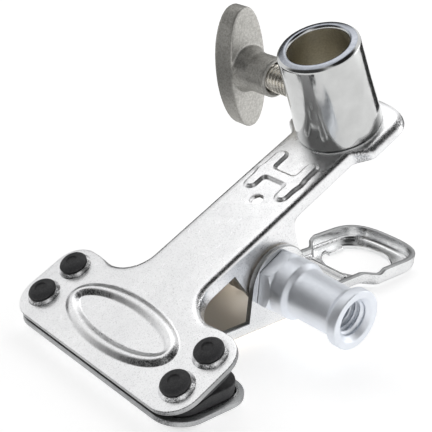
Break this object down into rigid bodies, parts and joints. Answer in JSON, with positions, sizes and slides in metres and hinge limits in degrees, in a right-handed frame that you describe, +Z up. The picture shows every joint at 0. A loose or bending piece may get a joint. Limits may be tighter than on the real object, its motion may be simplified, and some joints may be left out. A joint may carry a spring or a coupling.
{
  "type": "spring clamp with spigot socket",
  "caption": "Sprung grip clamp with rubber-lined jaws, an upright spigot socket with a wing screw, a side stud and a ring-ended handle.",
  "frame": {"origin": "centre of the bounding box in plan, at floor level, with the clamp standing on its rear pad studs and ring end", "axes": "+X from the jaws to the handles, +Y towards the wing screw, +Z up; the side stud points to -Y"},
  "size_m": [0.1156, 0.0794, 0.0765],
  "materials": {
    "zinc_upper": "bright zinc plate, satin",
    "zinc_lower": "bright zinc plate, satin",
    "pad_rubber": "matte",
    "chrome": "polished",
    "cast_knob": "as cast, tumbled",
    "nickel": "nickel plate",
    "aluminium": "satin anodised",
    "steel": "zinc plate",
    "spring_steel": "oiled",
    "nylon": "moulded"
  },
  "bodies": {
    "lower": {"lower_lever": "zinc_lower", "lower_pad": "pad_rubber", "pivot_bolt": "steel", "pivot_sleeve": "steel", "plain_washer": "steel", "spring_washer": "steel", "threaded_stud": "aluminium", "torsion_spring": "spring_steel"},
    "upper": {"upper_lever": "zinc_upper", "upper_pad": "pad_rubber", "receiver_socket": "chrome"},
    "tip": {"pressure_tip": "nylon"},
    "wing_screw": {"clamp_screw": "nickel", "wing_knob": "cast_knob"}
  },
  "joints": [
    {"name": "jaw_pivot", "type": "hinge", "parent": "lower", "child": "upper", "pos_m": [-0.00508, -0.00065, 0.016], "axis": [0, 1, 0], "range_deg": [0, 40], "stiffness_Nm_per_rad": 0.9, "springref_deg": -51.57},
    {"name": "tip_feed", "type": "slide", "parent": "upper", "child": "tip", "axis": [0, -1, 0], "range_m": [0, 0.00499]},
    {"name": "wing_turn", "type": "hinge", "parent": "tip", "child": "wing_screw", "pos_m": [0.02361, -0.00065, 0.0564], "axis": [0, -1, 0], "range_deg": [0, 1440]}
  ],
  "couplings": [
    {"joint": "wing_turn", "follows": "tip_feed", "rad_per_m": 5026.5}
  ]
}
